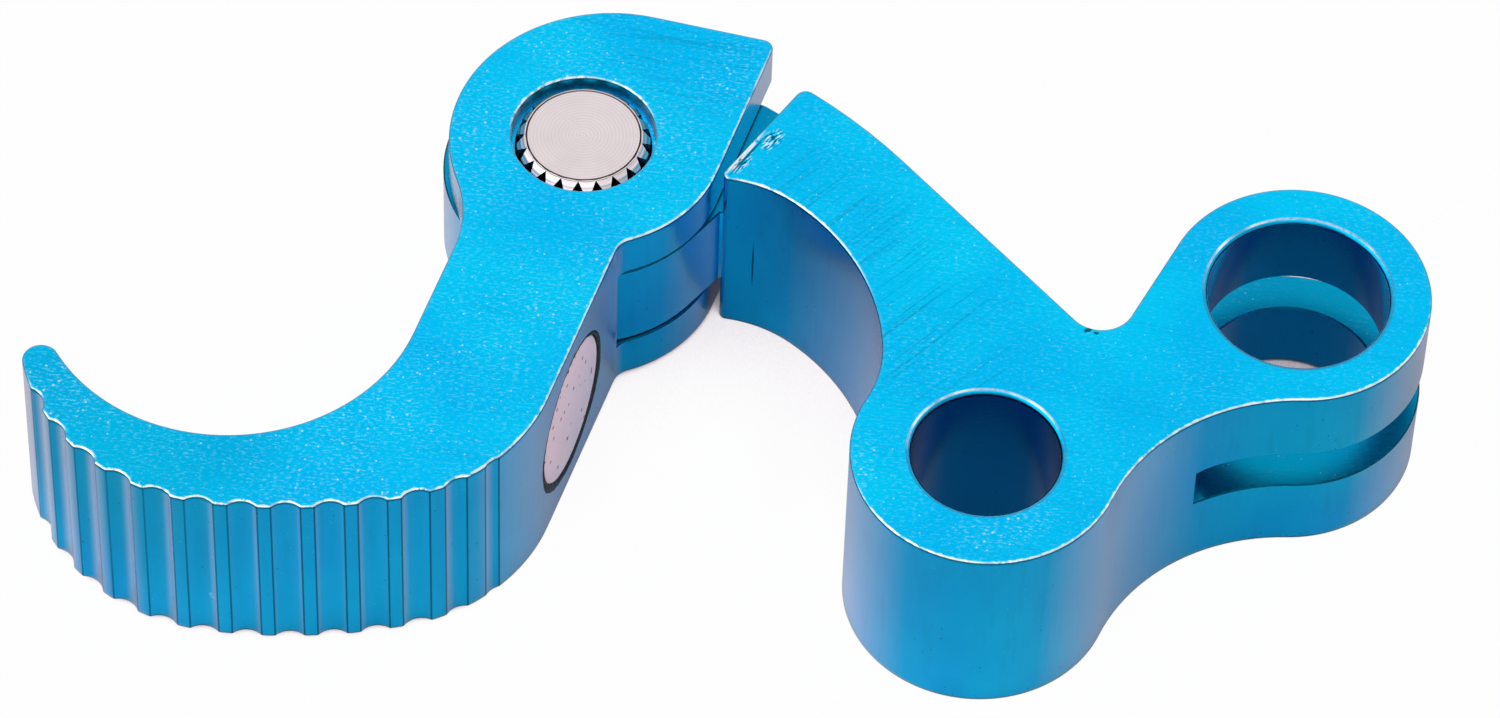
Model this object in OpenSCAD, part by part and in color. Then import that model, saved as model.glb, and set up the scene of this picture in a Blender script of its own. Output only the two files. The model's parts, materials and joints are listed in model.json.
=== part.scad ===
// Folding release lever: a bell crank bracket with a hinged hook lever.
// Millimetres, +Z up. The origin is on the pivot bore's axis, on the face that the part lies on.

/* [Plate] */
// Thickness of the bracket
thickness = 10.2; // [9:0.1:14]
// Distance of the lever's faces inside the bracket's faces
face_step = 0.3; // [0:0.05:0.5]

/* [Bracket bosses] */
// Diameter of the pivot bore
pivot_bore = 6.5; // [5:0.1:7.5]
// Wall around the pivot bore
pivot_wall = 2.65; // [2:0.05:3.2]
// Diameter of the bore for the cable's barrel end
cable_bore = 8; // [6:0.1:9]
// Wall around the cable bore
cable_wall = 1.85; // [1.2:0.05:2.6]
// Distance from the pivot to the cable bore
cable_reach = 16.5; // [15:0.05:19]
// Direction of the cable bore from the pivot, in degrees
cable_angle = 33; // [28:0.25:38]
// Height of the cable slot, across the middle of the cable boss
cable_slot = 2.25; // [1:0.05:3.5]
// Distance from the cable bore's axis to the blind end of the slot
slot_reach = 5.9; // [5:0.1:7]
// Direction in which the slot is cut, in degrees from the way to the cable bore
slot_turn = -20; // [-30:1:0]
// Radius of the hollow between the two bosses
front_radius = 9.2; // [6:0.1:12]

/* [Bracket arm] */
// Distance from the pivot to the hinge pin
hinge_reach = 24.85; // [23.5:0.05:27]
// Direction of the hinge pin from the pivot, in degrees
hinge_angle = 135.25; // [132:0.25:139]
// Radius of the hollow on the front of the arm
hollow_radius = 10.5; // [9.8:0.1:12]
// Radius that turns the hollow towards the arm's tip
lip_radius = 6; // [5:0.1:8]
// Direction from the hollow's centre in which that radius starts, in degrees
lip_turn = 50; // [46:1:56]
// Radius where the hollow runs into the pivot boss
root_radius = 5.7; // [4.5:0.1:7]
// Direction of that radius's centre from the pivot, in degrees
root_angle = 151; // [148:0.5:154]
// Distance from the pivot to the straight back edge
back_offset = 7.8; // [7:0.1:9]
// Lean of the back edge from the way to the hinge, in degrees
back_lean = 4.75; // [3:0.25:7]
// Radius that eases the back edge towards the hinge
shoulder_radius = 26; // [20:0.5:40]
// Distance before the hinge at which that radius starts
shoulder_run = 10.3; // [9:0.1:12]
// Lean of the cable boss's flank from the way to the cable bore, in degrees
flank_lean = 28.7; // [24:0.1:33]
// Radius at the bottom of the notch between the arm and the flank
notch_radius = 1.5; // [0.8:0.1:2.5]

/* [Hinge] */
// Distance from the pin's axis to the arm's end face
stop_reach = 6.4; // [6.2:0.05:7]
// Turn of the end face from the way to the pivot, in degrees
stop_turn = 9.25; // [6:0.25:12]
// Distance along the end face from the foot of the pin's axis to where the hollow's circle meets it
tip_inset = 1.9; // [1.5:0.05:2.4]
// Radius of the front tip
tip_round = 0.3; // [0.1:0.05:0.4]
// Gap between the lever and the end face
stop_gap = 0.1; // [0.08:0.01:0.3]
// Distance that the tongue is set back from the arm's tip
tongue_inset = 0.2; // [0.1:0.05:0.5]
// Distance of the tongue's back inside the arm's back corner
tongue_margin = 0.05; // [0.05:0.05:0.4]
// Thickness of the arm's tongue
tongue_thickness = 4.8; // [3.4:0.1:5]
// Radius of the tongue about the pin
tongue_radius = 6.25; // [5.8:0.05:6.3]
// Distance from the pin's axis, along the arm, to the tongue's rounded back corner
tongue_corner = 4.6; // [3.5:0.1:5.5]
// Radius of that corner
tongue_round = 1.5; // [0.6:0.1:2.5]
// Gap between the tongue and each ear
ear_gap = 0.12; // [0.04:0.01:0.2]
// Gap between the tongue's round end and the bottom of the fork
fork_gap = 0.3; // [0.25:0.05:0.6]
// Direction in which the fork is open, in degrees
fork_angle = 30; // [24:1:36]

/* [Hinge pin] */
// Diameter of the pin's plain shank
pin_diameter = 5.9; // [4.5:0.1:5.9]
// Diameter of the hole for the knurled end
knurl_bore = 6; // [6:0.1:7]
// Running gap around the shank in the tongue
running_gap = 0.04; // [0.02:0.01:0.08]
// Gap of the pressed fits in the ears
press_gap = 0.01; // [0.005:0.005:0.02]
// Depth of the knurl's grooves
knurl_depth = 0.35; // [0.15:0.05:0.5]
// Number of knurl teeth
knurl_teeth = 21; // [16:1:32]
// Share of each tooth's pitch that is left flat
knurl_land = 0.4; // [0.2:0.05:0.6]
// Distance of the pin's ends below the faces
pin_recess = 0.1; // [0:0.05:0.8]
// Chamfer on the pin's ends
pin_chamfer = 0.35; // [0.2:0.05:0.8]
// Gap around the pin's ends in the mouths of its holes
mouth_gap = 0.23; // [0.1:0.01:0.4]
// Depth of those mouths
mouth_depth = 0.9; // [0.4:0.1:1.4]

/* [Lever knuckle] */
// Radius of the knuckle's outside
knuckle_radius = 7.3; // [6.9:0.1:8]
// Distance of the knuckle's centre from the pin's axis
knuckle_shift = 1.34; // [1:0.02:1.9]
// Direction of that shift, in degrees
knuckle_turn = -11; // [-15:0.1:5]
// Slope of the knuckle's straight top, in degrees
top_slope = -13.8; // [-18:0.1:-10]
// Direction that the end flat faces, in degrees
end_facing = -19; // [-21:0.5:-15]
// Radius of the square corners
corner_radius = 0.5; // [0.2:0.05:0.8]

/* [Lever stem] */
// Direction of the magnet flat, in degrees
flat_angle = 71; // [68:0.5:74]
// Distance from the pin's axis to the magnet flat
flat_offset = 3.57; // [3.2:0.01:4]
// Distance along the flat from the pin to its lower end
flat_length = 14.3; // [13.5:0.1:17]
// Width of the stem behind the flat
stem_width = 6.75; // [5.5:0.05:7]
// Radius of the neck behind the stem
neck_radius = 6; // [4:0.1:9]
// Radius in the crook between the flat and the ears
crook_radius = 1; // [0.6:0.1:1.6]
// Diameter of the magnet
magnet_diameter = 7; // [5:0.1:7.4]
// Thickness of the magnet
magnet_thickness = 2; // [1:0.1:3]
// Distance along the flat from the pin to the magnet's centre
magnet_drop = 11.25; // [10.6:0.05:12]
// Gap around the magnet, filled with bond
bond_gap = 0.2; // [0.1:0.05:0.4]
// Distance of the magnet's face below the flat
magnet_recess = 0.05; // [0:0.01:0.3]

/* [Lever hook] */
// Inner radius of the hook
hook_radius = 8.5; // [7.8:0.1:9]
// Distance along the stem from the pin to the hook's centre
hook_drop = 13; // [12.4:0.1:13.6]
// Radius of the tip
tip_radius = 0.8; // [0.5:0.05:1.2]
// Direction of the tip from the hook's centre, in degrees
tip_angle = -150.5; // [-154:0.5:-142]
// Outer radius of the grip next to the flat
near_radius = 8.5; // [7.5:0.1:9.5]
// Outer radius of the grip's middle
grip_radius = 24.25; // [18:0.25:32]
// Direction in which the grip's middle starts, in degrees
near_turn = -76.6; // [-80:0.1:-73]
// Direction in which the grip's middle ends, in degrees
far_turn = -97; // [-100:0.1:-94]

/* [Grip scallops] */
// Number of scallops
scallops = 13; // [8:1:13]
// Distance between scallops along the grip
scallop_pitch = 1.88; // [1.6:0.01:1.9]
// Radius of each scallop
scallop_radius = 0.9; // [0.7:0.05:1.4]
// Depth of each scallop
scallop_depth = 0.28; // [0.1:0.02:0.4]
// Distance from the flat's lower end to the first scallop
scallop_start = 4.3; // [3.5:0.1:5.5]
// Number of scallops over which the depth fades in
scallop_fade = 3; // [1:1:5]

/* [Hidden] */
$fn = 96;
arc_step = 3;
same_point = 0.001;
overrun = 1;

// Direction as a vector, and a vector's direction
function dir(a) = [cos(a), sin(a)];
function angle(v) = atan2(v.y, v.x);
function degrees(length, radius) = length / radius * 180 / PI;

// Points of an arc from angle a to angle b
function arc(c, r, a, b) =
    let (n = max(1, ceil(abs(b - a) / arc_step)))
    [for (i = [0:n]) c + r * dir(a + (b - a) * i / n)];

// An outline without the points that fall on the next one, where arcs join
function joined(points) =
    let (n = len(points))
    [for (i = [0:n - 1]) if (norm(points[i] - points[(i + 1) % n]) > same_point) points[i]];

// Meeting point of the line through p along angle a and the line through q along angle b
function meet(p, a, q, b) = p + dir(a) * cross(q - p, dir(b)) / cross(dir(a), dir(b));

// Where the line through p along angle a leaves the circle of radius r about c
function leave(p, a, c, r) =
    let (along = (c - p) * dir(a), off = cross(dir(a), c - p))
    p + dir(a) * (along + sqrt(r * r - off * off));

// Point at distance ra from a and rb from b, to the left of the way from a to b
function apart(a, ra, b, rb) =
    let (d = norm(b - a), along = (d * d + ra * ra - rb * rb) / (2 * d))
    a + (b - a) * along / d + dir(angle(b - a) + 90) * sqrt(ra * ra - along * along);

// Bracket: bosses
pivot = [0, 0];
cable = cable_reach * dir(cable_angle);
hinge = hinge_reach * dir(hinge_angle);
pivot_boss = pivot_bore / 2 + pivot_wall;
cable_boss = cable_bore / 2 + cable_wall;
front_centre = apart(cable, cable_boss + front_radius, pivot, pivot_boss + front_radius);

// Bracket: end face of the arm, square to the way out from the pin
stop_facing = hinge_angle - 180 + stop_turn;
stop_foot = hinge + stop_reach * dir(stop_facing);
hollow_end = stop_foot + tip_inset * dir(stop_facing + 90);

// Bracket: hollow on the front of the arm, tangent to the pivot boss
root_centre = (pivot_boss + root_radius) * dir(root_angle);
hollow_centre = apart(root_centre, hollow_radius - root_radius, hollow_end, hollow_radius);
root_turn = angle(root_centre - hollow_centre);
lip_centre = hollow_centre + (hollow_radius - lip_radius) * dir(lip_turn);
arm_tip = leave(stop_foot, stop_facing + 90, lip_centre, lip_radius);
tip_centre = leave(stop_foot + tip_round * dir(stop_facing), stop_facing + 90,
    lip_centre, lip_radius + tip_round);

// Bracket: back edge, its shoulder, and the notch beside the cable boss
back_angle = hinge_angle - back_lean;
back_foot = back_offset * dir(back_angle - 90);
shoulder_start = back_foot + dir(back_angle) * ((hinge - back_foot) * dir(back_angle) - shoulder_run);
shoulder_centre = shoulder_start + shoulder_radius * dir(back_angle + 90);
corner_centre = leave(stop_foot + corner_radius * dir(stop_facing), stop_facing + 90,
    shoulder_centre, shoulder_radius - corner_radius);
corner_turn = angle(corner_centre - shoulder_centre);
flank_angle = cable_angle + flank_lean;
notch_centre = meet(back_foot + notch_radius * dir(back_angle - 90), back_angle,
    cable + (cable_boss + notch_radius) * dir(flank_angle + 90), flank_angle);

bracket_outline = concat(
    arc(tip_centre, tip_round, stop_facing + 180, 360 + angle(lip_centre - tip_centre)),
    arc(lip_centre, lip_radius, angle(tip_centre - lip_centre), lip_turn),
    arc(hollow_centre, hollow_radius, lip_turn, root_turn),
    arc(root_centre, root_radius, root_turn, root_angle - 180),
    arc(pivot, pivot_boss, root_angle, 360 + angle(front_centre)),
    arc(front_centre, front_radius, angle(pivot - front_centre), angle(cable - front_centre)),
    arc(cable, cable_boss, angle(front_centre - cable), flank_angle + 90),
    arc(notch_centre, notch_radius, flank_angle - 90, back_angle - 270),
    arc(shoulder_centre, shoulder_radius, back_angle - 90, corner_turn),
    arc(corner_centre, corner_radius, corner_turn, stop_facing + 180));

// Tongue: round about the pin, one side running to the arm's tip, the other to a rounded back corner
tongue_tip = arm_tip + tongue_inset * dir(stop_facing + 90);
tongue_rise = corner_radius - tongue_margin;
tongue_back = (corner_centre - hinge) * dir(stop_facing + 90) + tongue_rise;
tongue_centre = hinge + tongue_corner * dir(stop_facing)
    + (tongue_back - tongue_round) * dir(stop_facing + 90);
tip_tangent = angle(tongue_tip - hinge) - acos(tongue_radius / norm(tongue_tip - hinge));
back_tangent = angle(tongue_centre - hinge)
    + acos((tongue_radius - tongue_round) / norm(tongue_centre - hinge));

tongue_outline = concat(
    [tongue_tip,
        tongue_tip + overrun * dir(stop_facing + 45),
        corner_centre + tongue_rise * dir(stop_facing + 90) + overrun * dir(stop_facing)],
    arc(tongue_centre, tongue_round, stop_facing + 90, back_tangent),
    arc(hinge, tongue_radius, back_tangent, 360 + tip_tangent));

// Lever: knuckle and ears
ear_radius = stop_reach - stop_gap;
fork = tongue_thickness + 2 * ear_gap;
fork_radius = tongue_radius + fork_gap;
knuckle = hinge + knuckle_shift * dir(knuckle_turn);
square_centre = meet(hinge + (ear_radius - corner_radius) * dir(end_facing), end_facing + 90,
    knuckle + (knuckle_radius - corner_radius) * dir(top_slope + 90), top_slope);

// Lever: stem with the magnet flat in front and the neck behind
flat_facing = flat_angle - 90;
flat_end = hinge + flat_offset * dir(flat_facing) - flat_length * dir(flat_angle);
neck_offset = flat_offset - stem_width - neck_radius;
neck_centre = leave(hinge + neck_offset * dir(flat_facing), flat_angle + 180,
    knuckle, knuckle_radius + neck_radius);
crook_offset = flat_offset + crook_radius;
crook_reach = ear_radius + crook_radius;
crook_centre = hinge + crook_offset * dir(flat_facing)
    - sqrt(crook_reach * crook_reach - crook_offset * crook_offset) * dir(flat_angle);
magnet_foot = hinge + flat_offset * dir(flat_facing) - magnet_drop * dir(flat_angle);
magnet_floor = magnet_thickness + magnet_recess;

// Lever: hook, tangent to the stem, with three arcs round its outside
hook = hinge + (flat_offset - stem_width - hook_radius) * dir(flat_facing) - hook_drop * dir(flat_angle);
near_centre = flat_end - near_radius * dir(flat_facing);
grip_centre = near_centre - (grip_radius - near_radius) * dir(near_turn);
hook_tip = hook + (hook_radius + tip_radius) * dir(tip_angle);
far_start = grip_centre + grip_radius * dir(far_turn);
far_way = far_start - hook_tip;
far_radius = (far_way * far_way - tip_radius * tip_radius) / (2 * (far_way * dir(far_turn) - tip_radius));
far_centre = far_start - far_radius * dir(far_turn);

lever_outline = concat(
    arc(square_centre, corner_radius, end_facing, top_slope + 90),
    arc(knuckle, knuckle_radius, top_slope + 90, 360 + angle(neck_centre - knuckle)),
    arc(neck_centre, neck_radius, angle(knuckle - neck_centre), flat_facing),
    arc(hook, hook_radius, flat_facing, tip_angle),
    arc(hook_tip, tip_radius, tip_angle + 180, 360 + angle(hook_tip - far_centre)),
    arc(far_centre, far_radius, angle(hook_tip - far_centre), far_turn),
    arc(grip_centre, grip_radius, far_turn, near_turn),
    arc(near_centre, near_radius, near_turn, flat_facing),
    arc(crook_centre, crook_radius, flat_facing + 180, angle(hinge - crook_centre)),
    arc(hinge, ear_radius, angle(crook_centre - hinge), end_facing));

// Scallops: a place on the grip, s along it from the flat's end and raised off its surface
near_length = near_radius * (flat_facing - near_turn) * PI / 180;
grip_length = grip_radius * (near_turn - far_turn) * PI / 180;
function grip_place(s, raised) =
    s < near_length
        ? near_centre + (near_radius + raised) * dir(flat_facing - degrees(s, near_radius))
    : s < near_length + grip_length
        ? grip_centre + (grip_radius + raised) * dir(near_turn - degrees(s - near_length, grip_radius))
    : far_centre + (far_radius + raised)
        * dir(far_turn - degrees(s - near_length - grip_length, far_radius));
function fade(i) = min(1, (i + 1) / scallop_fade);

// Pin: grooves of the knurl round its upper end
knurl_radius = knurl_bore / 2 - press_gap;
tooth_pitch = 360 / knurl_teeth;
knurl_outline = [
    for (i = [0:knurl_teeth - 1])
        for (corner = [[-knurl_land / 2, 0], [knurl_land / 2, 0], [0.5, knurl_depth]])
            (knurl_radius - corner[1]) * dir((i + corner[0]) * tooth_pitch)];
knurl_base = thickness / 2 + fork / 2;
pin_foot = face_step + pin_recess;
pin_top = thickness - pin_foot;

// A slab of the plan at the middle of the thickness
module middle(height) {
    translate([0, 0, (thickness - height) / 2])
        linear_extrude(height)
            children();
}

// A bore right through, from height low to height high
module bore(place, diameter, low, high) {
    translate([place.x, place.y, low])
        cylinder(d = diameter, h = high - low);
}

module bracket() {
    color("DeepSkyBlue")
    difference() {
        union() {
            linear_extrude(thickness)
                polygon(joined(bracket_outline));
            middle(tongue_thickness)
                polygon(joined(tongue_outline));
        }
        bore(pivot, pivot_bore, -overrun, thickness + overrun);
        bore(cable, cable_bore, -overrun, thickness + overrun);
        bore(hinge, pin_diameter + 2 * running_gap, 0, thickness);
        cable_slot_cut();
    }
}

// The slot for the cable, open all round the cable boss
module cable_slot_cut() {
    length = slot_reach + cable_boss + overrun;
    width = 2 * (cable_boss + notch_radius + overrun);
    middle(cable_slot)
        translate(cable)
            rotate(cable_angle + slot_turn)
                translate([-slot_reach, -width / 2])
                    square([length, width]);
}

module hook_lever() {
    color("DodgerBlue")
    difference() {
        middle(thickness - 2 * face_step)
            grip_profile();
        middle(fork)
            fork_profile();
        bore(hinge, pin_diameter + 2 * press_gap, -overrun, thickness / 2);
        bore(hinge, knurl_bore, thickness / 2, thickness + overrun);
        bore(hinge, knurl_bore + 2 * mouth_gap, thickness - face_step - mouth_depth, thickness + overrun);
        bore(hinge, pin_diameter + 2 * mouth_gap, -overrun, face_step + mouth_depth);
        on_flat(-magnet_floor)
            cylinder(d = magnet_diameter + 2 * bond_gap, h = magnet_floor + overrun);
    }
}

// The lever's plan with the scallops cut into the grip
module grip_profile() {
    difference() {
        polygon(joined(lever_outline));
        for (i = [0:scallops - 1])
            translate(grip_place(scallop_start + i * scallop_pitch, scallop_radius - scallop_depth * fade(i)))
                circle(r = scallop_radius);
    }
}

// The fork's plan: round about the pin and open towards the arm
module fork_profile() {
    translate(hinge) {
        circle(r = fork_radius);
        rotate(fork_angle)
            translate([0, -fork_radius])
                square([2 * fork_radius, 2 * fork_radius]);
    }
}

// Places children on the magnet's axis, pointing out of the flat, at a height over it
module on_flat(height) {
    translate([magnet_foot.x, magnet_foot.y, thickness / 2])
        rotate([0, 90, flat_facing])
            translate([0, 0, height])
                children();
}

module hinge_pin() {
    shank = pin_diameter / 2;
    color("Silver")
    translate(hinge) {
        translate([0, 0, pin_foot])
            cylinder(r1 = shank - pin_chamfer, r2 = shank, h = pin_chamfer);
        translate([0, 0, pin_foot + pin_chamfer])
            cylinder(r = shank, h = knurl_base - pin_foot - pin_chamfer);
        intersection() {
            translate([0, 0, knurl_base])
                linear_extrude(pin_top - knurl_base)
                    polygon(knurl_outline);
            knurl_envelope();
        }
    }
}

// The knurled end's round outside with its chamfer
module knurl_envelope() {
    full = pin_top - pin_chamfer;
    translate([0, 0, knurl_base - overrun])
        cylinder(r = knurl_radius + overrun, h = full - knurl_base + overrun - pin_chamfer);
    translate([0, 0, full - pin_chamfer])
        cylinder(r1 = knurl_radius + pin_chamfer, r2 = knurl_radius - pin_chamfer, h = 2 * pin_chamfer);
}

module magnet() {
    color("LightGray")
    on_flat(-magnet_floor)
        cylinder(d = magnet_diameter, h = magnet_thickness);
}

bracket();
hook_lever();
hinge_pin();
magnet();
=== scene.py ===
"""Folding release lever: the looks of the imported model, laid out as an add-on."""
import json
import math
from types import SimpleNamespace

import bmesh
import bpy
from bpy.props import FloatProperty, FloatVectorProperty, IntProperty, PointerProperty
from mathutils import Matrix, Vector, noise


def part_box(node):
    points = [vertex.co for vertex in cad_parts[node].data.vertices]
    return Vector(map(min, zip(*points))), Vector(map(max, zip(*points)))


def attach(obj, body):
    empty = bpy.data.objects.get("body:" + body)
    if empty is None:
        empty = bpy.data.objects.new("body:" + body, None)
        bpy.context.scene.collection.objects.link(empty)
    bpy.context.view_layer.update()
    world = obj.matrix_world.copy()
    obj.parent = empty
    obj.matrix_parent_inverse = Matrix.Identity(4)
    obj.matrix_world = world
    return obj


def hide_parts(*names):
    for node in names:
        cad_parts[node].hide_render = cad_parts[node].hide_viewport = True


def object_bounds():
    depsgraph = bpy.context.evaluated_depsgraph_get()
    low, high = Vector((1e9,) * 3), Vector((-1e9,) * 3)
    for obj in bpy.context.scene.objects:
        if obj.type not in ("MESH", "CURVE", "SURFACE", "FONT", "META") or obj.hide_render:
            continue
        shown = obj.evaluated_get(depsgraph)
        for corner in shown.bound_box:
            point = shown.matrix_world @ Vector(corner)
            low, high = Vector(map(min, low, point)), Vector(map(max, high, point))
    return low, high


bl_info = {
    "name": "Folding release lever",
    "version": (1, 0, 0),
    "blender": (4, 5, 0),
    "location": "3D View > Sidebar > Release lever",
    "description": "Dresses the bracket, hook lever, hinge pin and magnet of a folding release lever",
    "category": "Object",
}

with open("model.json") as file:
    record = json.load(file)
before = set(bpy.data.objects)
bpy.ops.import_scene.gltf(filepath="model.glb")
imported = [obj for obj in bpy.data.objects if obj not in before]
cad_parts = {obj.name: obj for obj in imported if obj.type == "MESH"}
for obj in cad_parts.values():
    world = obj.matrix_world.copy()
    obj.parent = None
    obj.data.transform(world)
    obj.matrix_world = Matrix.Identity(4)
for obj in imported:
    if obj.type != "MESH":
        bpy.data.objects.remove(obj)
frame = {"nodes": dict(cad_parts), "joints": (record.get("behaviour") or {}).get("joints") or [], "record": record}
cad_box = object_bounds()

MM = 0.001
# Points this close are one, and heights and walls this close are the same
WELD = 0.001 * MM
NEAR = 0.01 * MM
# A face is level where the Z of its normal is over this
LEVEL = 0.99
HINGE = Vector(frame["joints"][0]["pos_m"])
PIN_LOW, PIN_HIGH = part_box("hinge_pin")
LEVER_LOW, LEVER_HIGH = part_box("hook_lever")
BRACKET_LOW, BRACKET_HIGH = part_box("bracket")
BORES = [mount for mount in frame["record"]["mounts"] if mount["kind"] == "bore"]
# Edges this near to the hinge belong to its fork and tongue
HINGE_REACH = 7 * MM
# Middle of the picture, on the bracket's top
PICTURE_MIDDLE = Vector((-10.337, 4.574, 0)) * MM


def colour(code):
    """An sRGB hex colour as linear red, green and blue."""
    parts = [int(code[i:i + 2], 16) / 255 for i in (1, 3, 5)]
    return tuple(c / 12.92 if c <= 0.04045 else ((c + 0.055) / 1.055) ** 2.4 for c in parts)


# Settings that a user would change

class LeverSizes(bpy.types.PropertyGroup):
    edge_break: FloatProperty(
        name="Edge break", description="Break on the outer edges of the plates",
        default=0.09 * MM, precision=5, unit="LENGTH")
    inner_break: FloatProperty(
        name="Inner edge break", description="Break on the edges of the slots and of the fork",
        default=0.07 * MM, precision=5, unit="LENGTH")
    mouth_break: FloatProperty(
        name="Bore mouth", description="Round on the mouths of the two bores",
        default=0.25 * MM, precision=5, unit="LENGTH")
    corner_break: FloatProperty(
        name="Corner break", description="Break on the corners of the scallops",
        default=0.045 * MM, precision=5, unit="LENGTH")
    wear_band: FloatProperty(
        name="Wear band", description="Reach of the nicks and rubbed spots from an outer edge",
        default=0.28 * MM, precision=5, unit="LENGTH")
    magnet_round: FloatProperty(
        name="Magnet edge", description="Radius on the edge of the magnet",
        default=0.22 * MM, precision=5, unit="LENGTH")
    bead_radius: FloatProperty(
        name="Bond bead", description="Half of the width of the bond around the magnet",
        default=0.14 * MM, precision=5, unit="LENGTH")
    face_radius: FloatProperty(
        name="Pin face", description="Radius of the flat on the end of the pin",
        default=2.62 * MM, precision=5, unit="LENGTH")
    tooth_depth: FloatProperty(
        name="Tooth depth", description="Depth of the grooves of the knurl",
        default=0.35 * MM, precision=5, unit="LENGTH")
    teeth: IntProperty(
        name="Teeth", description="Number of teeth of the knurl", default=21, min=12, max=40)


class LeverFinish(bpy.types.PropertyGroup):
    dye: FloatVectorProperty(
        name="Dye", description="Blue of the anodised skin", subtype="COLOR",
        default=colour("#00C7F3"))
    # Darkened, the deep dye also gives the painted shade in the bores, slots, seams, dents and under the rims
    dye_deep: FloatVectorProperty(
        name="Deep dye", description="Blue where the dye took more", subtype="COLOR",
        default=colour("#00B7EF"))
    # Also the colour of the painted highlight on the rims that face the front
    bare: FloatVectorProperty(
        name="Bare metal", description="Aluminium where the skin is worn away", subtype="COLOR",
        default=colour("#DCE9F2"))
    steel: FloatVectorProperty(
        name="Steel", description="Turned steel of the pin", subtype="COLOR",
        default=colour("#EADEE1"))
    nickel: FloatVectorProperty(
        name="Nickel", description="Plating of the magnet", subtype="COLOR",
        default=colour("#FFE6EA"))
    bond: FloatVectorProperty(
        name="Bond", description="Bond around the magnet", subtype="COLOR",
        default=colour("#141315"))


class LeverView(bpy.types.PropertyGroup):
    distance: FloatProperty(
        name="Distance", description="From the camera to the middle of the picture",
        default=0.3549, precision=4, unit="LENGTH")
    lens: FloatProperty(
        name="Lens", description="Focal length in millimetres", default=195.9, subtype="DISTANCE_CAMERA")
    elevation: FloatProperty(
        name="Elevation", description="Angle of the camera above the floor",
        default=math.radians(52.72), subtype="ANGLE")
    azimuth: FloatProperty(
        name="Azimuth", description="Turn of the camera about the object",
        default=math.radians(-1.53), subtype="ANGLE")
    roll: FloatProperty(
        name="Roll", description="Turn of the camera about its own axis",
        default=math.radians(2.21), subtype="ANGLE")


# Small tools

def add(tree, kind, values=None, links=None, **settings):
    """Adds a node, sets its settings and socket values, and links its inputs."""
    node = tree.nodes.new(kind)
    for key, value in settings.items():
        setattr(node, key, value)
    for key, value in (values or {}).items():
        node.inputs[key].default_value = value
    for key, source in (links or {}).items():
        tree.links.new(source, node.inputs[key])
    return node


def new_material(name):
    """An empty node material and its tree."""
    old = bpy.data.materials.get(name)
    if old:
        bpy.data.materials.remove(old)
    material = bpy.data.materials.new(name)
    material.use_nodes = True
    material.node_tree.nodes.clear()
    return material, material.node_tree


def new_piece(name, mesh, materials):
    """Puts a mesh in the scene as a piece at the origin."""
    piece = bpy.data.objects.new(name, mesh)
    bpy.context.scene.collection.objects.link(piece)
    for material in materials:
        mesh.materials.append(material)
    return piece


def settle(piece, body, node):
    """Makes a piece stand for a CAD node and ride on its body."""
    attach(piece, body)
    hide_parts(node)


def merged_copy(node):
    """The CAD node's mesh with its loose triangles joined into whole faces."""
    shape = bmesh.new()
    shape.from_mesh(frame["nodes"][node].data)
    bmesh.ops.remove_doubles(shape, verts=shape.verts[:], dist=WELD)
    bmesh.ops.dissolve_limit(
        shape, angle_limit=math.radians(0.4), verts=shape.verts[:], edges=shape.edges[:])
    shape.normal_update()
    return shape


def to_mesh(shape, name, smooth_angle):
    """Ends a bmesh as a mesh with sharp edges above an angle."""
    shape.normal_update()
    for face in shape.faces:
        face.smooth = True
    for edge in shape.edges:
        edge.smooth = edge.is_manifold and edge.calc_face_angle(0) < smooth_angle
    mesh = bpy.data.meshes.new(name)
    shape.to_mesh(mesh)
    shape.free()
    return mesh


# Machined plates: broken edges and the attributes that carry their wear, painted highlight and painted shade

def corner_edges(shape, height):
    """Upright convex edges of the plate's full height with a plain turn: the corners of the scallops."""
    return [
        e for e in shape.edges
        if e.is_manifold and e.is_convex and math.radians(15) < e.calc_face_angle(0) < math.radians(75)
        and abs(abs(e.verts[0].co.z - e.verts[1].co.z) - height) < NEAR]


def bore_gap(point):
    """How far a point is from the wall of the nearest bore."""
    return min(
        abs(math.hypot(point.x - bore["pos_m"][0], point.y - bore["pos_m"][1]) - bore["dims"]["r_mm"] * MM)
        for bore in BORES)


def crossed_edges(ring, inside):
    """Inner edges of a ring of faces that run backwards, where a land is narrower than the ring."""
    crossed = []
    for face in ring:
        for loop in face.loops:
            if loop.link_loop_radial_next.face not in inside:
                continue
            across = loop.link_loop_next.link_loop_next
            way = loop.link_loop_next.vert.co - loop.vert.co
            back = across.link_loop_next.vert.co - across.vert.co
            if way.dot(back) > 0:
                crossed.append(loop.edge)
    return crossed


def bevelled(shape, edges, size, segments, slide=True):
    """Bevels edges and gives the new faces."""
    return bmesh.ops.bevel(
        shape, geom=edges, offset=size, offset_type="OFFSET", segments=segments, profile=0.5,
        affect="EDGES", clamp_overlap=False, loop_slide=slide)["faces"]


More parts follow.
